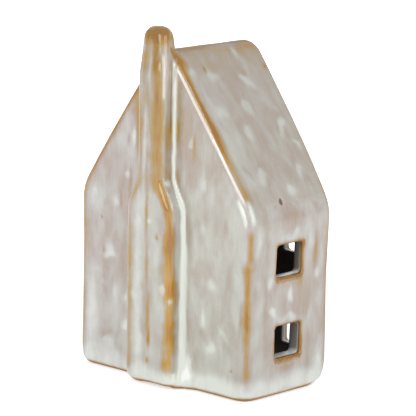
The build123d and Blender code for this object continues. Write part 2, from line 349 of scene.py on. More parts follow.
# Edges and top of the chimney
chim_edge = (y - CHIM_Y) - np.maximum(chim_in, 0)
chim_mask = smooth(-24.4, -25.6, y)
high = smooth(80, 97, z)
east = smooth(-2.0, 2.0, x - CHIM_X) * chim_mask
shift = -2.6 + 2.4 * smooth(89, 73, z) + 0.9 * smooth(65, 45, z) + 0.4 * drift
reach = 2.9 + 0.7 * high - 0.9 * smooth(118, 132, z) + 1.3 * smooth(68, 48, z)
reach *= 1 + (girth - 1) * (1 - 0.65 * high)
strong = 1.05 + 0.2 * smooth(50, 64, z) - 0.34 * smooth(32, 14, z) - 0.6 * high
band(ochre, chim_edge, shift, reach, strong * east * smooth(4, 9, z + 2 * sway_u), 3)
band(speck, chim_edge, -1.5, 4.5, 0.36 * east * high)
# Whiter glaze on the breast's right side face, painted light that lifts the shade there
white += 0.3 * east * smooth(3.4, 5.0, chim_edge) * smooth(60, 75, z) * (1 - high)
flank = east * smooth(5.6, 4.2, chim_edge)
mauve += 0.7 * flank * smooth(1.6, 3.4, chim_edge) * high
mauve += 0.8 * flank * smooth(0.4, 1.8, chim_edge) * smooth(118, 130, z)
west = chim_mask - east
band(ochre, chim_edge, -3.2, 1.8 * girth, (0.62 - 0.3 * smooth(116, 128, z)) * west * smooth(4, 9, z))
band(ochre, chim_edge, -0.6, 1.0, 0.45 * west * smooth(116, 126, z))
ochre += 0.75 * smooth(154.5, 160.0, z + 3 * drift) * smooth(-9, -1, x) * chim_mask
ochre += 0.2 * chim_mask * high * (1 + 0.7 * drift)
ochre -= 0.3 * east * smooth(0.8, 2.4, chim_edge) * smooth(112, 126, z)

# Painted highlight: a line of light along the right verge and the stack's corner
on_stack = east * smooth(129, 131, z) * smooth(150, 148, z)
gleam_at = np.where(y < BACK - 2.5, chim_edge - 1.3, gleam_at)
gleam = np.where(y < BACK - 2.5, 0.5 * on_stack, gleam)

wobble = 0.35 * noise(p / 5.0 + 9.4, 12)

# Glaze pooled in the inner corners of the chimney, with thin lines beside the pool
corner = -chim_in - (BACK - y)
beside = smooth(-5.2, -4.4, y - BACK) * (y < BACK + 1.0) * smooth(148, 146, z)
bead = 0.95 + 0.3 * smooth(96, 82, z) + 0.8 * smooth(68, 42, z) - 0.55 * smooth(130, 146, z)
bead *= 1 + 0.3 * drift
middle = 1.2 - 1.15 * smooth(56, 86, z) + 0.4 * drift + 1.2 * wobble
pool = np.exp(-(np.abs((corner - middle) / bead) ** 3)) * beside * smooth(3, 6, z)
line_share = 0.4 + 0.6 * smooth(112, 120, z)
band(ochre, corner, -2.4, 0.9, 0.6 * beside * high * line_share)
band(speck, corner, -2.3, 0.8, 0.55 * beside * high * line_share)
broken = np.maximum(0.75 + 1.3 * drift, 0.1)
band(ochre, corner, 2.4, 1.6, 0.85 * beside * (0.15 + 0.85 * high) * smooth(40, 70, z) * broken)
ochre -= 1.3 * pool
white += (0.72 - 0.66 * high) * pool
# Painted highlight: a white spot on the chimney's right shoulder
white += 1.5 * np.exp(-(((z - 92.3) / 1.5) ** 2) - ((y + 27.6) / 1.3) ** 2) * (x > 4)

# Thick white glaze along the foot, with a ragged upper edge
ragged = noise(np.c_[x + y, y * 0.3, np.zeros(len(p))] / 9.0, 5)
ragged += 0.4 * noise(np.c_[x, y, z * 0.2] / 3.5, 6)
white += smooth(12.0, 2.5, z + 2.2 * ragged)

# Window rims: thin ochre line, a thick speckled sill and a white halo above, with painted shade in the
# reveals and a painted highlight on the inner ledge
openings = [(HALF - side * x, y - MID_Y, z - wz) for wz in SIDE_WINDOWS for side in (1, -1)]
openings += [(FRONT - y, x - wx, z - wz) for wx, wz in FRONT_WINDOWS]
for deep, u, v in openings:
    gap = window_gap(u, v, *WINDOW) + wobble
    face = smooth(3.2, 1.5, deep)
    under = smooth(-5.8, -6.8, v) * smooth(9.4, 7.8, np.abs(u))
    far_side = smooth(6.0, 8.0, u)
    near_side = np.maximum(smooth(-6.6, -7.8, u), smooth(5.4, 6.6, v)) * (1 - far_side)
    line_at = -0.2 + 0.25 * far_side + 0.64 * near_side
    band(ochre, gap, line_at, 0.9 + 0.2 * far_side + 0.06 * near_side, 1.3 * face, 4)
    # Painted shade in the reveal of the opening
    band(painted_reveal_shade, gap, 0.0, 1.3, smooth(2.2, 3.2, deep) * smooth(10.0, 9.0, deep) * smooth(-7.2, -5.0, v))
    band(ochre, gap, 1.05, 1.4, face * under, 4)
    band(speck, deep, 2.1, 0.6, 0.75 * np.exp(-((gap / 0.9) ** 2)))
    band(sill, gap, 1.0, 1.5, face * under)
    band(ochre, gap, 3.6, 2.2, 0.28 * face * under)
    halo = np.exp(-(((v - 10.4 + sway_v) / 2.4) ** 2) - ((u / 8.5) ** 4))
    white += 0.42 * halo * face
    # White glaze pooled on the inner ledge, made brighter as painted light to lift the shade in the opening
    ledge = smooth(2.4, 3.6, deep) * smooth(9.0, 7.5, deep) * smooth(-6.2, -6.9, v)
    white += 1.9 * ledge * smooth(9.0, 8.0, np.abs(u))

# Broad change of tone over the faces
blush = smooth(4.0, -10.0, x) * (1 - 0.6 * on_chimney) + 0.6 * smooth(46.0, 50.0, x) * smooth(92, 82, z)
blush += 0.2 * smooth(88, 104, z) * FACES["gable"][0] * right + 0.5 * noise(p / 16.0 + 6.1, 44)
mauve += on_roof * (0.12 + 0.3 * smooth(-15, 2, y)) + 0.14 * FACES["side"][0]
mauve += 0.3 * smooth(88, 104, z) * FACES["gable"][0] * right
ochre += 0.14 * on_roof * smooth(128, 150, z)

# Drops and runs on the seen faces: face, place across, height, half width, reach up and down, amount, lean
for run in (
    ("roof", 13.0, 147.6, 1.5, 1.6, 3.4, 0.55),
    ("roof", -7.0, 139.6, 3.4, 1.6, 2.6, 0.5, -0.5),
    ("roof", 11.0, 136.4, 2.1, 1.2, 4.0, 0.8, -0.7),
    ("roof", 3.8, 126.0, 2.2, 1.8, 4.6, 0.62, -0.37),
    ("roof", -2.4, 117.4, 2.2, 1.8, 5.0, 0.6, -0.06),
    ("roof", 20.5, 117.8, 1.7, 1.2, 6.0, 0.65, 0.45),
    ("roof", 25.0, 108.9, 1.5, 1.4, 3.2, 0.55, -0.2),
    ("roof", 19.4, 99.0, 1.9, 1.6, 4.6, 0.55, 0.23),
    ("roof", 9.3, 91.8, 2.0, 1.8, 2.4, 0.7, -0.1),
    ("roof", -5.5, 98.2, 2.2, 2.0, 4.4, 0.6, 0.3),
    ("roof", -13.3, 125.1, 2.2, 2.4, 2.4, 0.35),
    ("roof", -19.0, 141.0, 1.6, 2.0, 2.6, 0.35),
    ("roof", -16.5, 112.0, 3.6, 16.0, 16.0, 0.3),
    ("gable", 16.6, 110.4, 1.5, 4.0, 1.6, 0.75, 0.2),
    ("gable", 24.1, 101.0, 2.4, 8.0, 8.0, 0.3),
    ("gable", 24.2, 94.0, 1.9, 3.0, 2.4, 0.45),
    ("gable", 24.5, 74.0, 2.2, 3.4, 3.0, 0.45),
    ("gable", 29.9, 49.7, 2.8, 2.0, 2.4, 0.55),
    ("gable", 25.5, 34.7, 1.6, 3.6, 3.0, 0.35),
    ("gable", 31.0, 21.5, 2.6, 2.6, 2.4, 0.6),
    ("gable", 37.2, 29.5, 1.3, 3.5, 3.5, 0.4, -0.9),
    # White glaze pooled at the foot of the chimney, with a painted highlight on it
    ("gable", 17.4, 7.2, 1.8, 7.0, 2.2, 1.6),
    ("gable", -43.6, 26.0, 2.8, 18.0, 18.0, 0.5),
    ("gable", -35.0, 24.0, 11.0, 22.0, 20.0, 0.32),
    ("side", 4.0, 12.0, 18.0, 6.0, 14.0, 0.3),
    ("gable", -32.4, 53.4, 2.6, 4.4, 1.4, 1.1),
    ("gable", -29.2, 79.0, 1.8, 2.0, 2.0, 0.6),
    ("gable", -22.1, 35.4, 1.6, 2.0, 1.6, 0.5),
    ("gable", -21.9, 22.1, 1.7, 1.8, 1.6, 0.6),
    ("gable", -33.6, 13.3, 3.2, 1.6, 3.0, 0.45),
    ("gable", -17.7, 110.6, 1.0, 4.0, 4.2, 0.85),
    ("gable", -22.3, 91.8, 1.2, 1.8, 1.4, 0.6),
    ("gable", -43.2, 78.7, 3.4, 7.0, 5.0, 0.35),
    ("side", 17.0, 67.0, 1.5, 4.0, 4.0, 0.4),
    ("side", -6.9, 39.2, 1.8, 1.6, 3.6, 0.95, -0.4),
    ("side", 4.9, 43.6, 1.2, 3.4, 1.6, 1.2),
    ("side", -9.1, 51.6, 1.6, 3.6, 2.6, 0.65),
    ("side", 22.4, 52.6, 1.6, 3.0, 2.0, 0.65),
    ("side", 18.3, 35.1, 2.0, 5.0, 5.0, 0.4),
    ("side", 25.1, 11.6, 2.0, 3.4, 3.0, 0.5),
    ("side", -16.8, 45.0, 2.6, 26.0, 26.0, 0.25),
    ("chimney", -6.6, 42.0, 2.6, 34.0, 32.0, 0.7),
    ("chimney", -0.2, 75.1, 1.2, 1.4, 1.2, 0.8),
    ("chimney", 4.2, 50.0, 2.4, 24.0, 26.0, 0.4),
    ("chimney", 8.8, 45.6, 1.3, 1.4, 1.8, 1.2),
    ("chimney", 12.0, 40.6, 0.9, 1.4, 1.2, 1.0),
    ("chimney", -1.2, 143.0, 0.9, 8.0, 8.0, 0.6),
    ("chimney", -4.0, 108.0, 1.6, 16.0, 14.0, 0.6),
    ("chimney", -6.0, 136.0, 0.9, 10.0, 12.0, 0.7),
    ("chimney", -2.6, 122.0, 0.8, 6.0, 7.0, 0.5),
    ("chimney", -6.0, 153.0, 1.5, 2.5, 4.0, 0.8),
):
    face, a, b, wide, up, down, *more = run
    more[0] *= {"roof": 1.5, "chimney": 0.95}.get(face, 1.15)
    stroke(white, face, a, b, 1.25 * wide, 1.2 * up, 1.2 * down, *more)
for run in (
    ("roof", 11.9, 138.4, 1.0, 0.9, 0.9, 0.8),
    ("roof", -3.1, 142.5, 3.0, 2.0, 2.0, 0.4),
    ("roof", -2.0, 137.1, 1.3, 1.6, 1.6, 0.6),
    ("roof", 0.0, 128.4, 1.2, 2.2, 2.0, 0.6),
    ("roof", -6.6, 118.8, 1.3, 2.2, 2.4, 0.7),
    ("roof", -12.6, 98.5, 1.1, 3.0, 3.0, 0.7, -0.6),
    ("roof", -3.3, 101.9, 1.8, 1.0, 1.0, 0.6),
    ("roof", 21.6, 120.2, 1.8, 0.9, 0.9, 0.35),
    ("roof", 16.6, 147.0, 1.6, 2.0, 2.4, 0.6),
    ("roof", -15.0, 146.0, 4.0, 3.0, 4.0, 0.4),
    ("gable", 37.6, 76.5, 1.0, 3.6, 3.0, 0.7),
    ("gable", 21.1, 75.8, 1.2, 3.0, 2.6, 0.5),
    ("gable", 22.0, 43.0, 3.0, 13.0, 13.0, 0.4),
    ("gable", 42.0, 55.0, 1.6, 5.0, 5.0, 0.4),
    ("gable", 24.1, 24.1, 2.0, 4.0, 4.0, 0.35),
    ("gable", 38.6, 24.9, 1.8, 3.0, 4.0, 0.3),
    ("gable", 16.0, 112.0, 4.0, 20.0, 16.0, 0.7),
    ("gable", 22.0, 106.0, 5.0, 12.0, 10.0, 0.2),
    ("gable", -34.7, 77.6, 1.8, 2.6, 2.6, 0.6),
    ("gable", -35.9, 39.6, 1.8, 5.0, 4.0, 0.45),
    ("gable", -36.4, 16.8, 1.6, 2.4, 2.4, 0.65),
    ("gable", -31.4, 17.0, 1.8, 1.8, 1.8, 0.5),
    ("gable", -24.0, 52.0, 3.4, 16.0, 15.0, 0.45),
    ("gable", -34.0, 66.0, 7.0, 12.0, 10.0, 0.35),
    ("gable", -27.0, 95.0, 5.0, 9.0, 8.0, 0.3),
    ("side", 21.0, 62.5, 1.4, 8.0, 8.0, 0.8),
    ("side", 21.2, 82.7, 1.2, 3.0, 3.0, 0.6),
    ("side", 11.7, 42.0, 4.5, 7.0, 8.0, 0.55),
    ("side", -11.5, 68.8, 1.3, 4.0, 4.0, 0.5),
    ("side", -11.4, 38.8, 1.2, 4.0, 4.0, 0.5),
    ("side", 3.3, 12.0, 5.0, 2.2, 2.6, 0.5),
    ("side", 2.1, 80.0, 10.0, 4.0, 6.0, 0.45),
    ("chimney", 4.0, 33.0, 1.6, 5.0, 5.0, 0.4),
    ("chimney", 5.4, 22.0, 1.6, 7.0, 6.0, 0.4),
    ("chimney", -3.5, 140.0, 2.0, 16.0, 16.0, 0.4),
):
    face, a, b, wide, up, down, *more = run
    more[0] *= 1.7 if face == "side" else 1.25
    stroke(mauve, face, a, b, 1.25 * wide, 1.2 * up, 1.2 * down, *more)
for run in (
    ("roof", -10.4, 142.0, 0.9, 1.5, 1.5, 1.0),
    ("roof", 27.9, 139.7, 0.9, 1.2, 1.2, 0.8),
    ("roof", -20.3, 146.0, 1.5, 3.0, 4.0, 0.7),
    ("gable", 18.9, 112.0, 1.0, 5.0, 6.0, 0.45),
    ("gable", 42.8, 13.5, 0.6, 0.6, 0.6, 1.1),
    ("gable", 47.9, 39.0, 0.8, 8.0, 8.0, 0.5),
    ("gable", -36.1, 55.5, 0.8, 1.6, 1.4, 0.4),
    ("gable", -26.0, 79.0, 0.9, 4.0, 3.4, 0.45),
    ("gable", -20.2, 27.8, 0.9, 3.0, 3.0, 0.5),
    ("gable", -20.4, 17.7, 1.0, 2.0, 1.6, 0.4),
    ("gable", -37.9, 70.1, 0.6, 0.6, 0.6, 0.9),
    ("gable", -21.2, 108.2, 1.3, 2.6, 2.6, 0.6),
    ("gable", -15.6, 112.0, 1.1, 13.0, 12.0, 0.85),
    ("gable", -20.0, 88.0, 1.0, 8.0, 8.0, 0.6),
    ("gable", -17.0, 122.0, 1.8, 8.0, 6.0, 0.6),
    ("side", 21.0, 62.7, 0.9, 6.0, 5.0, 0.3),
    ("side", 2.2, 2.7, 4.0, 1.0, 1.0, 0.5),
    ("chimney", -1.7, 78.0, 0.95, 9.0, 9.0, 1.15),
    ("chimney", -1.2, 56.0, 0.9, 9.0, 9.0, 0.75),
    ("chimney", -0.2, 32.0, 0.9, 8.0, 8.0, 0.65),
    ("chimney", 0.3, 21.7, 0.9, 4.0, 3.4, 1.2),
    ("chimney", -0.4, 12.4, 0.9, 1.8, 2.2, 1.2),
    ("chimney", 4.8, 68.3, 0.8, 1.8, 1.6, 1.1),
    ("chimney", -2.4, 107.0, 0.7, 22.0, 18.0, 0.35),
    ("chimney", 0.6, 149.0, 2.0, 7.0, 9.0, 0.62),
    ("chimney", 9.8, 11.8, 1.6, 3.0, 2.4, 0.5),
):
    stroke(ochre, *run)
stroke(speck, "roof", -0.6, 86.2, 1.1, 1.5, 1.1, 2.4)

# More drops and runs, scattered from a fixed seed: span across, span of heights, count and share of strength
rng = np.random.RandomState(71)
SPREAD = {
    "front": (-46, 46, 10, 120, 34, 1.0),
    "left": (-19, 28, 8, 82, 22, 1.0),
    "left_roof": (-19, 28, 90, 146, 18, 1.0),
    "gable": (-46, 46, 10, 115, 40, 0.4),
    "side": (-19, 28, 8, 82, 18, 0.4),
    "roof": (-19, 28, 90, 146, 16, 0.4),
    "chimney": (-13, 10, 10, 80, 12, 0.4),
}
for face, (a0, a1, b0, b1, count, share) in SPREAD.items():
    for i in range(count):
        a, b = rng.uniform(a0, a1), rng.uniform(b0, b1)
        up, wide, down = rng.uniform(1.4, 5.0), rng.uniform(1.2, 2.6), rng.uniform(1.4, 5.0)
        stroke(white, face, a, b, wide, up, down, share * rng.uniform(0.3, 0.9))
        a, b = rng.uniform(a0, a1), rng.uniform(b0, b1)
        up = rng.uniform(2.0, 9.0)
        stroke(mauve, face, a, b, rng.uniform(1.2, 3.4), up, 0.9 * up, share * rng.uniform(0.5, 1.0))
        if i % 4 == 0 and share == 1.0:
            a, b = rng.uniform(a0, a1), rng.uniform(b0, b1)
            wide, up = rng.uniform(0.7, 1.1), rng.uniform(1.0, 6.0)
            stroke(ochre, face, a, b, wide, up, 2.0, rng.uniform(0.4, 0.8))

# Runs follow the slope on the roof and the plumb line elsewhere
along = np.hypot(np.abs(x) - HALF, z - EAVE)
roof_flow = np.c_[np.sign(x) * HALF, y, EAVE + along]
flow = np.where((on_roof > 0.5)[:, None], roof_flow, p)
rim = smooth(2.1, 1.3, z - TIP_UP * tip + 0.25 * ragged)
rim *= smooth(6.0, 12.0, np.hypot(x - HALF, y - FRONT))
thinned = np.clip(ochre, 0, 1)
gold = thinned * FACES["chimney"][0] * smooth(97, 86, z) * (1 - 0.6 * smooth(46, 62, z))
umber = thinned * np.maximum(chim_mask * smooth(108, 128, z), 0.8 * right * smooth(104, 124, z))
# Painted shade on the roof, deeper toward the ridge, kept off the ochre
roof_painted_shade = smooth(80, 94, z) * (on_roof > 0.02) * (0.8 + 0.6 * smooth(112, 150, z)) * (1 - thinned)

for name, values in (
    ("ochre", ochre * (1 - inside)),
    ("white", white),
    ("mauve", mauve),
    ("inside", inside),
    ("rim", rim),
    ("speck", speck),
    ("sill", sill),
    ("blush", np.clip(blush, 0, 1)),
    ("painted_reveal_shade", painted_reveal_shade),
    ("gold", gold),
    ("umber", umber),
    ("edge", np.clip(edge, 0, 1)),
    ("gleam_at", gleam_at),
    ("gleam", gleam),
    ("roof_painted_shade", roof_painted_shade),
):
    layer = me.attributes.new(name, "FLOAT", "POINT")
    layer.data.foreach_set("value", values.astype(np.float32))
layer = me.attributes.new("flow", "FLOAT_VECTOR", "POINT")
layer.data.foreach_set("vector", flow.astype(np.float32).ravel())
shade_smooth(me)


def srgb(r, g, b):
    """A display colour of 0 to 255 as the linear colour that a node takes."""
    c = np.array([r, g, b]) / 255.0
    c = np.where(c <= 0.04045, c / 12.92, ((c + 0.055) / 1.055) ** 2.4)
    return (float(c[0]), float(c[1]), float(c[2]), 1.0)


class Nodes:
    """Short calls for building a node material."""

    def __init__(self, name):
        self.material = bpy.data.materials.new(name)
        self.material.use_nodes = True
        self.tree = self.material.node_tree
        self.tree.nodes.clear()

    def put(self, target, value):
        if isinstance(value, bpy.types.NodeSocket):
            self.tree.links.new(value, target)
        else:
            target.default_value = value

    def node(self, kind, inputs=None, **fields):
        made = self.tree.nodes.new(kind)
        for key, value in fields.items():
            setattr(made, key, value)
        for key, value in (inputs or {}).items():
            self.put(made.inputs[key], value)
        return made

    def math(self, operation, a, b=0.0, c=0.0, clamp=False):
        made = self.node("ShaderNodeMath", operation=operation, use_clamp=clamp)
        for socket, value in zip(made.inputs, (a, b, c)):
            self.put(socket, value)
        return made.outputs[0]

    def scaled(self, vector, factors):
        made = self.node("ShaderNodeVectorMath", operation="MULTIPLY")
        self.put(made.inputs[0], vector)
        made.inputs[1].default_value = factors
        return made.outputs[0]

    def millimetres(self):
        """The place on the piece in millimetres."""
        return self.scaled(self.node("ShaderNodeTexCoord").outputs["Object"], (MM, MM, MM))

    def attribute(self, name, vector=False):
        made = self.node("ShaderNodeAttribute", attribute_name=name)
        return made.outputs["Vector" if vector else "Fac"]

    def noise(self, vector, scale=1.0, detail=2.0, rough=0.5, distortion=0.0):
        made = self.node("ShaderNodeTexNoise", {"Vector": vector, "Scale": scale, "Detail": detail})
        made.inputs["Roughness"].default_value = rough
        made.inputs["Distortion"].default_value = distortion
        return made.outputs["Fac"]

    def remap(self, value, low, high, to_low=0.0, to_high=1.0):
        made = self.node("ShaderNodeMapRange", interpolation_type="SMOOTHSTEP")
        keys = ("Value", "From Min", "From Max", "To Min", "To Max")
        for key, item in zip(keys, (value, low, high, to_low, to_high)):
            self.put(made.inputs[key], item)
        return made.outputs["Result"]

    def mix(self, factor, a, b, blend="MIX"):
        made = self.node("ShaderNodeMix", data_type="RGBA", blend_type=blend)
        self.put(made.inputs[0], factor)
        self.put(made.inputs[6], a)
        self.put(made.inputs[7], b)
        return made.outputs[2]

    def ramp(self, value, stops):
        made = self.node("ShaderNodeValToRGB", {"Fac": value})
        ramp = made.color_ramp
        while len(ramp.elements) < len(stops):
            ramp.elements.new(0.5)
        for element, (place, colour) in zip(ramp.elements, stops):
            element.position = place
            element.color = colour
        return made.outputs["Color"]

    def bump(self, height, distance, strength=1.0, normal=None):
        made = self.node("ShaderNodeBump", {"Height": height, "Distance": distance, "Strength": strength})
        if normal is not None:
            self.put(made.inputs["Normal"], normal)
        return made.outputs["Normal"]

    def surface(self, **inputs):
        shader = self.node("ShaderNodeBsdfPrincipled")
        for key, value in inputs.items():
            self.put(shader.inputs[key.replace("_", " ")], value)
        out = self.node("ShaderNodeOutputMaterial")
        self.tree.links.new(shader.outputs[0], out.inputs["Surface"])
        return self.material


# Reactive glaze: pale with mauve runs, white where thick, ochre where it breaks thin, bare clay inside
# painted dark as shade, with painted highlights and shade mixed in
g = Nodes("reactive_glaze")
flow_at = g.attribute("flow", vector=True)
at_ochre, at_white, at_mauve = g.attribute("ochre"), g.attribute("white"), g.attribute("mauve")
broad = g.noise(g.scaled(flow_at, (1 / 6.2, 1 / 6.2, 1 / 17)), detail=2.0, rough=0.45, distortion=0.5)
patch = g.noise(g.scaled(flow_at, (1 / 13, 1 / 13, 1 / 20)), detail=2.0)
cloud = g.noise(g.scaled(flow_at, (1 / 7.0, 1 / 7.0, 1 / 9.0)), detail=3.0, rough=0.5)
fine = g.noise(g.scaled(flow_at, (1 / 0.9, 1 / 0.9, 1 / 9)), detail=2.0, rough=0.5)
grain = g.noise(flow_at, scale=1.3, detail=3.0, rough=0.6)
crisp = g.math("MULTIPLY_ADD", at_white, 0.5, g.math("MULTIPLY", g.remap(at_white, 0.15, 0.8), 0.48))
coat = g.math("MULTIPLY_ADD", crisp, 0.42, 0.568)
coat = g.math("MULTIPLY_ADD", at_mauve, -0.22, coat)
coat = g.math("MULTIPLY_ADD", at_ochre, -0.46, coat)
for part, amount in ((broad, 0.4), (patch, 0.4), (cloud, 0.3), (fine, 0.13), (grain, 0.07)):
    coat = g.math("MULTIPLY_ADD", g.math("SUBTRACT", part, 0.5), amount, coat)
streak = g.math("MULTIPLY", g.math("SUBTRACT", fine, 0.5), g.math("MINIMUM", at_ochre, 1.0))
coat = g.math("MULTIPLY_ADD", streak, 0.22, coat)
least = g.math("MULTIPLY_ADD", at_ochre, -0.9, g.math("MULTIPLY_ADD", fine, 0.16, 0.26))
least = g.math("MULTIPLY_ADD", grain, 0.1, least)
coat = g.math("SMOOTH_MAX", coat, least, 0.15)
colour = g.ramp(
    coat,
    (
        (0.0, srgb(158, 107, 14)),
        (0.12, srgb(176, 127, 36)),
        (0.22, srgb(179, 141, 68)),
        (0.31, srgb(175, 152, 114)),
        (0.40, srgb(179, 162, 148)),
        (0.50, srgb(186, 177, 168)),
        (0.62, srgb(196, 193, 185)),
        (0.77, srgb(208, 208, 201)),
        (1.0, srgb(227, 230, 223)),
    ),
)
thick = g.remap(coat, 0.5, 1.0)
tint = g.mix(g.attribute("blush"), (0.965, 0.99, 0.965, 1.0), (0.985, 0.965, 0.985, 1.0))
tint = g.mix(g.attribute("gold"), tint, (1.19, 1.15, 0.93, 1.0))
tint = g.mix(g.attribute("umber"), tint, (0.88, 0.91, 0.84, 1.0))
colour = g.mix(1.0, colour, tint, blend="MULTIPLY")
# Near white where the white field is highest: the painted highlights at the eave, shoulder, foot and inner
# ledge, and where white runs pile up
colour = g.mix(g.remap(at_white, 1.25, 1.9), colour, srgb(248, 248, 245))
# Painted highlight: a cream line along the right verge and the stack's corner
line = g.remap(g.math("ABSOLUTE", g.attribute("gleam_at")), 1.15, 0.5)
colour = g.mix(g.math("MULTIPLY", line, g.attribute("gleam")), colour, srgb(246, 240, 231))
worn = g.math("MULTIPLY", g.attribute("edge"), g.remap(cloud, 0.35, 0.65, 0.15, 0.6))
colour = g.mix(worn, colour, srgb(136, 98, 54))
# Painted shade on the roof
colour = g.mix(g.math("MULTIPLY", g.attribute("roof_painted_shade"), 0.34), colour, srgb(164, 155, 145))
colour = g.mix(g.remap(g.attribute("speck"), 0.2, 0.95), colour, srgb(104, 76, 54))
spots = g.remap(g.noise(flow_at, scale=1.5, detail=2.0), 0.52, 0.64)
colour = g.mix(g.math("MULTIPLY", g.attribute("sill"), spots, clamp=True), colour, srgb(96, 64, 30))
# Painted shade in the window reveals
colour = g.mix(g.math("MULTIPLY", g.attribute("painted_reveal_shade"), 0.8, clamp=True), colour, srgb(100, 91, 84))
bare = g.mix(grain, srgb(152, 106, 44), srgb(192, 142, 74))
colour = g.mix(g.attribute("rim"), colour, bare)
# Bare clay inside, painted dark as shade
shaded_clay = g.mix(grain, srgb(58, 48, 41), srgb(84, 70, 58))
colour = g.mix(g.attribute("inside"), colour, shaded_clay)
dry = g.math("MAXIMUM", g.attribute("rim"), g.attribute("inside"))
rough = g.math("MULTIPLY_ADD", grain, 0.08, 0.06)
rough = g.math("MULTIPLY_ADD", dry, 0.65, rough)
rough = g.math("MULTIPLY_ADD", g.attribute("edge"), 0.4, rough)
height = g.math("MULTIPLY_ADD", thick, 0.5, g.math("MULTIPLY", broad, 0.35))
height = g.math("MULTIPLY_ADD", cloud, 0.3, height)
height = g.math("MULTIPLY_ADD", fine, 0.08, height)
height = g.math("MULTIPLY_ADD", grain, 0.06, height)
glaze = g.surface(
    Base_Color=colour,
    Roughness=rough,
    IOR=1.65,
    Normal=g.bump(height, 0.0005, 0.8),
)
me.materials.append(glaze)
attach(house, "house")
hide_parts("house_shell")

# Tealight: drawn aluminium cup, cast wax and a braided wick, all about one upright axis
AXIS = Vector((0.0, MID_Y, 0.0))
CUP_TALL, CUP_FLARE = 16.05, 0.5
CUP_OUTER, CUP_INNER, WAX_OUTER = 17.9, 17.6, 17.45
WAX_TOP, DIP_DEEP, DIP_HALF = 14.2, 0.6, 7.2


def lathe(name, profile, closed, turns=144):
    """A mesh turned about the tealight's axis from (radius, height) points; a radius of 0 is a pole."""
    points, rings = [], []
    for r, h in profile:
        if r == 0:
            rings.append([len(points)] * turns)
            points.append((AXIS.x, AXIS.y, h))
            continue
        rings.append(list(range(len(points), len(points) + turns)))
        for i in range(turns):
            a = 2 * pi * i / turns
            points.append((AXIS.x + r * cos(a), AXIS.y + r * sin(a), h))
    faces = []
    pairs = list(zip(rings, rings[1:] + rings[:1])) if closed else list(zip(rings, rings[1:]))
    for low_ring, high_ring in pairs:
        for i in range(turns):
            j = (i + 1) % turns
            corner_ids = (low_ring[i], low_ring[j], high_ring[j], high_ring[i])
            faces.append(tuple(dict.fromkeys(corner_ids)))
    me = bpy.data.meshes.new(name)
    me.from_pydata([(a / MM, b / MM, c / MM) for a, b, c in points], [], faces)
    me.update()
    shade_smooth(me)
    return new_object(name, me)


def arc(cx, cy, rx, ry, start, stop, steps):
    """Points of an elliptic arc, angles in degrees from straight down and turning outward."""
    angles = np.radians(np.linspace(start, stop, steps))
    return [(cx + rx * sin(a), cy - ry * cos(a)) for a in angles]


def flared(radius, heights):
    """Points of a wall that widens from radius at the foot as the cup does."""
    return [(radius + CUP_FLARE * h / CUP_TALL, h) for h in heights]


def axis_reach(points):
    """Distances from the tealight's axis."""
    return np.hypot(points[:, 0], points[:, 1] - MID_Y)


cup_profile = [(0, 0.6), (6.0, 0.6), (11.9, 0.6), (12.4, 0.56), (12.75, 0.35), (13.1, 0.06), (13.4, 0.0)]
cup_profile += arc(16.5, 1.4, 1.44, 1.4, 0, 90, 8)
cup_profile += flared(CUP_OUTER, (3.0, 5.0, 7.0, 9.0, 11.0, 13.0, 14.6))
cup_profile += arc(18.55, CUP_TALL, 0.45, 0.45, -15, 275, 18)
cup_profile += flared(CUP_INNER, (15.2, 13.0, 11.0, 9.0, 7.0, 5.0, 3.0))
cup_profile += arc(16.5, 1.4, 1.14, 1.1, 90, 0, 8)
cup_profile += [(13.5, 0.3), (13.2, 0.36), (12.9, 0.62), (12.5, 0.86), (11.9, 0.9), (6.0, 0.9), (0, 0.9)]
cup = lathe("cup_skin", cup_profile, closed=False)
q = mesh_points(cup.data)
reach = axis_reach(q)
wall_part = smooth(17.0, 17.5, reach) * smooth(1.2, 3.0, q[:, 2]) * smooth(15.4, 14.0, q[:, 2])
crimp = 0.035 * noise(np.c_[q[:, :2] / 1.6, q[:, 2] / 9.0], 31) * wall_part
q[:, 0] += crimp * q[:, 0] / np.maximum(reach, 1e-6)
q[:, 1] += crimp * (q[:, 1] - MID_Y) / np.maximum(reach, 1e-6)
set_points(cup.data, q)

wax_profile = [(13.25, 0.3), (16.05, 0.3), (16.8, 0.85), (17.3, 1.4), (17.5, 2.0)]
wax_profile += flared(WAX_OUTER, (5.0, 9.0, 12.0, 13.4))
wax_profile += [(17.83, 13.9), (17.68, 14.14), (17.45, 14.26), (17.1, 14.29)]
wax_profile += [(r, 14.24) for r in np.linspace(16.2, 7.6, 16)]
wax_profile += [(r, WAX_TOP - DIP_DEEP * (1 - (r / DIP_HALF) ** 2)) for r in np.linspace(7.0, 0.86, 14)]
wax_profile += [(0.86, 9.0), (0.86, 5.85), (1.31, 5.85), (1.31, 1.2)]
wax_profile += [(6.65, 1.2), (6.65, 0.9), (12.65, 0.9)]
wax = lathe("wax_skin", wax_profile, closed=True)
q = mesh_points(wax.data)
reach = axis_reach(q)
open_top = smooth(13.4, 13.55, q[:, 2]) * smooth(17.4, 16.0, reach) * smooth(0.9, 2.0, reach)
q[:, 2] -= open_top * (0.05 + 0.05 * noise(q / 5.5 + 2.0, 33) + 0.02 * noise(q / 1.8, 34))
set_points(wax.data, q)

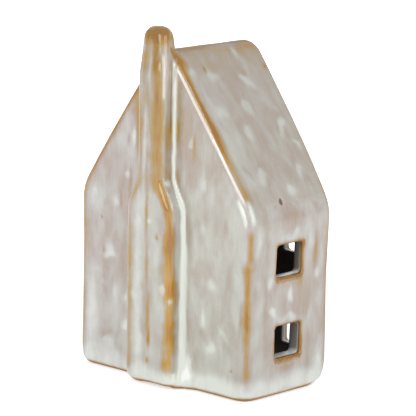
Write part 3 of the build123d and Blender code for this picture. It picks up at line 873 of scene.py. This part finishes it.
# Wick of three plaited strands, upright and then leaning over
STEM, BEND, LEAN = 16.4, 10.0, radians(28.0)
WICK_FOOT, LAY, SWING, WEAVE, STRAND = 0.9, 2.6, 0.41, 0.24, 0.34
STRANDS, SIDES = 3, 9
steps = np.linspace(0.0, STEM + BEND * LEAN, 170)
points, faces = [], []
for strand in range(STRANDS):
    start = len(points)
    for s in steps:
        turn = max(0.0, (s - STEM) / BEND)
        spine = Vector((BEND * (1 - cos(turn)), MID_Y, WICK_FOOT + min(s, STEM) + BEND * sin(turn)))
        out = Vector((cos(turn), 0.0, -sin(turn)))
        across = Vector((0.0, 1.0, 0.0))
        phase = 2 * pi * (s / LAY + strand / STRANDS)
        middle = spine + out * SWING * sin(phase) + across * WEAVE * sin(2 * phase)
        thick = STRAND * min(1.0, 0.55 + 1.6 * min(s, steps[-1] - s))
        for i in range(SIDES):
            a = 2 * pi * i / SIDES
            points.append(middle + (out * cos(a) + across * sin(a)) * thick)
    for k in range(len(steps) - 1):
        for i in range(SIDES):
            j = (i + 1) % SIDES
            low_id, high_id = start + k * SIDES, start + (k + 1) * SIDES
            faces.append((low_id + i, low_id + j, high_id + j, high_id + i))
    faces.append(tuple(start + i for i in reversed(range(SIDES))))
    faces.append(tuple(len(points) - SIDES + i for i in range(SIDES)))
wick_mesh = bpy.data.meshes.new("wick_braid")
wick_mesh.from_pydata([v / MM for v in points], [], faces)
wick_mesh.update()
shade_smooth(wick_mesh)
wick = new_object("wick_braid", wick_mesh)

# Bright drawn aluminium with upright draw marks and a little handling haze
m = Nodes("drawn_aluminium")
place = m.millimetres()
draw = m.noise(m.scaled(place, (1.5, 1.5, 0.04)), detail=3.0, rough=0.6)
haze = m.noise(m.scaled(place, (0.16, 0.16, 0.2)), detail=3.0)
aluminium = m.surface(
    Base_Color=m.mix(haze, srgb(172, 174, 177), srgb(198, 199, 201)),
    Metallic=1.0,
    Roughness=m.math("MULTIPLY_ADD", haze, 0.16, m.math("MULTIPLY_ADD", draw, 0.12, 0.16)),
    Normal=m.bump(draw, 0.00006, 0.5),
)

# Paraffin: soft white, slightly clear, with crystal mottling and a skin that dimples
m = Nodes("paraffin_wax")
place = m.millimetres()
mottle = m.noise(place, scale=0.35, detail=4.0, rough=0.6)
crystal = m.node("ShaderNodeTexVoronoi", {"Vector": place, "Scale": 0.8}).outputs["Distance"]
skin = m.noise(place, scale=1.6, detail=2.0)
paraffin = m.surface(
    Base_Color=m.mix(mottle, srgb(238, 234, 222), srgb(248, 247, 241)),
    Roughness=m.math("MULTIPLY_ADD", mottle, 0.2, 0.28),
    IOR=1.44,
    Subsurface_Weight=0.35,
    Subsurface_Scale=0.003,
    Normal=m.bump(m.math("MULTIPLY_ADD", crystal, 0.4, skin), 0.00008, 0.5),
)

# Tin plate of the disc at the foot of the wick
m = Nodes("tin_plate")
place = m.millimetres()
spangle = m.node("ShaderNodeTexVoronoi", {"Vector": place, "Scale": 1.1}).outputs["Distance"]
scuff = m.noise(place, scale=2.4, detail=3.0)
tin = m.surface(
    Base_Color=m.mix(spangle, srgb(168, 168, 164), srgb(196, 196, 193)),
    Metallic=1.0,
    Roughness=m.math("MULTIPLY_ADD", scuff, 0.25, 0.2),
    Normal=m.bump(scuff, 0.00004, 0.4),
)

# Cotton of the wick, waxed, with fibres along the strands
m = Nodes("waxed_cotton")
place = m.millimetres()
fibre = m.noise(m.scaled(place, (9.0, 9.0, 2.2)), detail=3.0, rough=0.65)
soak = m.noise(place, scale=0.5, detail=2.0)
shade = m.math("MULTIPLY_ADD", fibre, 0.6, m.math("MULTIPLY", soak, 0.4))
cotton = m.surface(
    Base_Color=m.mix(shade, srgb(182, 168, 138), srgb(220, 210, 188)),
    Roughness=m.math("MULTIPLY_ADD", fibre, 0.25, 0.5),
    Normal=m.bump(fibre, 0.00005, 0.7),
)

for piece, node, slot, material in (
    (cup, "tealight_cup", "cup", aluminium),
    (wax, "tealight_wax", "wax", paraffin),
    (wick, "wick", "cotton", cotton),
):
    piece.data.materials.append(material)
    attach(piece, "tealight")
    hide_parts(node)
for place_slot in nodes["wick_sustainer"].material_slots:
    place_slot.material = tin

# Camera at the photograph's place, in metres
AZ, EL, ROLL = radians(42.70), radians(11.56), radians(1.12)
AIM, ASIDE, AWAY = Vector((0, 0.0041, 0.07604)), 0.001424, 1.249
FOCAL_PIXELS, PHOTO_PIXELS, SENSOR = 2772.7, 416.0, 36.0
right_axis = Vector((cos(AZ), sin(AZ), 0))
back_axis = Vector((sin(AZ) * cos(EL), -cos(AZ) * cos(EL), sin(EL)))
up_axis = back_axis.cross(right_axis)
target = AIM + right_axis * ASIDE
cam_right = right_axis * cos(ROLL) + up_axis * sin(ROLL)
cam_up = up_axis * cos(ROLL) - right_axis * sin(ROLL)
lens = bpy.data.cameras.new("camera")
lens.sensor_width = SENSOR
lens.lens = FOCAL_PIXELS / PHOTO_PIXELS * SENSOR
lens.clip_start, lens.clip_end = 0.05, 20.0
camera = bpy.data.objects.new("camera", lens)
facing = Matrix((cam_right, cam_up, back_axis)).transposed().to_4x4()
camera.matrix_world = Matrix.Translation(target + back_axis * AWAY) @ facing
scene.collection.objects.link(camera)
scene.camera = camera

HOUSE_MIDDLE = Vector((0, 0.004, 0.08))


def softbox(name, azimuth, elevation, distance, wide, tall, watts):
    """An area lamp aimed at the middle of the house, placed as seen from the house."""
    az, el = radians(azimuth), radians(elevation)
    away = Vector((sin(az) * cos(el), -cos(az) * cos(el), sin(el)))
    data = bpy.data.lights.new(name, "AREA")
    data.shape = "RECTANGLE"
    data.size, data.size_y, data.energy = wide, tall, watts
    ob = bpy.data.objects.new(name, data)
    ob.location = HOUSE_MIDDLE + away * distance
    ob.rotation_euler = away.to_track_quat("Z", "Y").to_euler()
    scene.collection.objects.link(ob)
    return ob


softbox("softbox_left", 8.0, 23.0, 1.3, 0.72, 0.8, 7.0)
softbox("softbox_right", 89.0, 17.0, 1.3, 0.85, 0.85, 5.7)
softbox("fill_back", 222.0, 30.0, 1.5, 1.2, 1.0, 7.0).visible_glossy = False

# White surround: full white to the camera and in reflections, softer as light
world = bpy.data.worlds.new("surround")
scene.world = world
world.use_nodes = True
world_tree = world.node_tree
world_tree.nodes.clear()
path = world_tree.nodes.new("ShaderNodeLightPath")
seen = world_tree.nodes.new("ShaderNodeMath")
seen.operation = "MAXIMUM"
world_tree.links.new(path.outputs["Is Camera Ray"], seen.inputs[0])
gloss = world_tree.nodes.new("ShaderNodeMath")
gloss.operation = "MAXIMUM"
world_tree.links.new(path.outputs["Is Glossy Ray"], gloss.inputs[0])
world_tree.links.new(path.outputs["Is Transmission Ray"], gloss.inputs[1])
world_tree.links.new(gloss.outputs[0], seen.inputs[1])
level = world_tree.nodes.new("ShaderNodeMapRange")
level.inputs["To Min"].default_value = 0.48
level.inputs["To Max"].default_value = 1.0
world_tree.links.new(seen.outputs[0], level.inputs["Value"])
sky = world_tree.nodes.new("ShaderNodeBackground")
sky.inputs["Color"].default_value = (1, 1, 1, 1)
world_tree.links.new(level.outputs["Result"], sky.inputs["Strength"])
world_tree.links.new(sky.outputs[0], world_tree.nodes.new("ShaderNodeOutputWorld").inputs["Surface"])

# White floor that keeps the object's shadow
FLOOR_HALF, FLOOR_DROP = 6.0, 0.00015
f = Nodes("white_floor")
path = f.node("ShaderNodeLightPath")
seen = f.math("MAXIMUM", path.outputs["Is Camera Ray"], path.outputs["Is Glossy Ray"])
seen = f.math("MAXIMUM", seen, path.outputs["Is Transmission Ray"])
paper = f.node("ShaderNodeBsdfDiffuse", {"Color": (0.8, 0.8, 0.8, 1)})
place = f.node("ShaderNodeTexCoord").outputs["Object"]
far = f.node("ShaderNodeVectorMath", {0: place}, operation="LENGTH").outputs["Value"]
paleness = f.math("MULTIPLY", seen, f.remap(far, 0.08, 0.34, 0.58, 1.0))
lift = f.node("ShaderNodeEmission", {"Color": (1, 1, 1, 1), "Strength": paleness})
both = f.node("ShaderNodeAddShader")
f.tree.links.new(paper.outputs[0], both.inputs[0])
f.tree.links.new(lift.outputs[0], both.inputs[1])
f.tree.links.new(both.outputs[0], f.node("ShaderNodeOutputMaterial").inputs["Surface"])
floor_mesh = bpy.data.meshes.new("floor")
corners = [(a * FLOOR_HALF, b * FLOOR_HALF, -FLOOR_DROP) for a, b in ((-1, -1), (1, -1), (1, 1), (-1, 1))]
floor_mesh.from_pydata(corners, [], [(0, 1, 2, 3)])
floor = new_object("floor", floor_mesh)
floor_mesh.materials.append(f.material)

scene.view_settings.view_transform = "Standard"
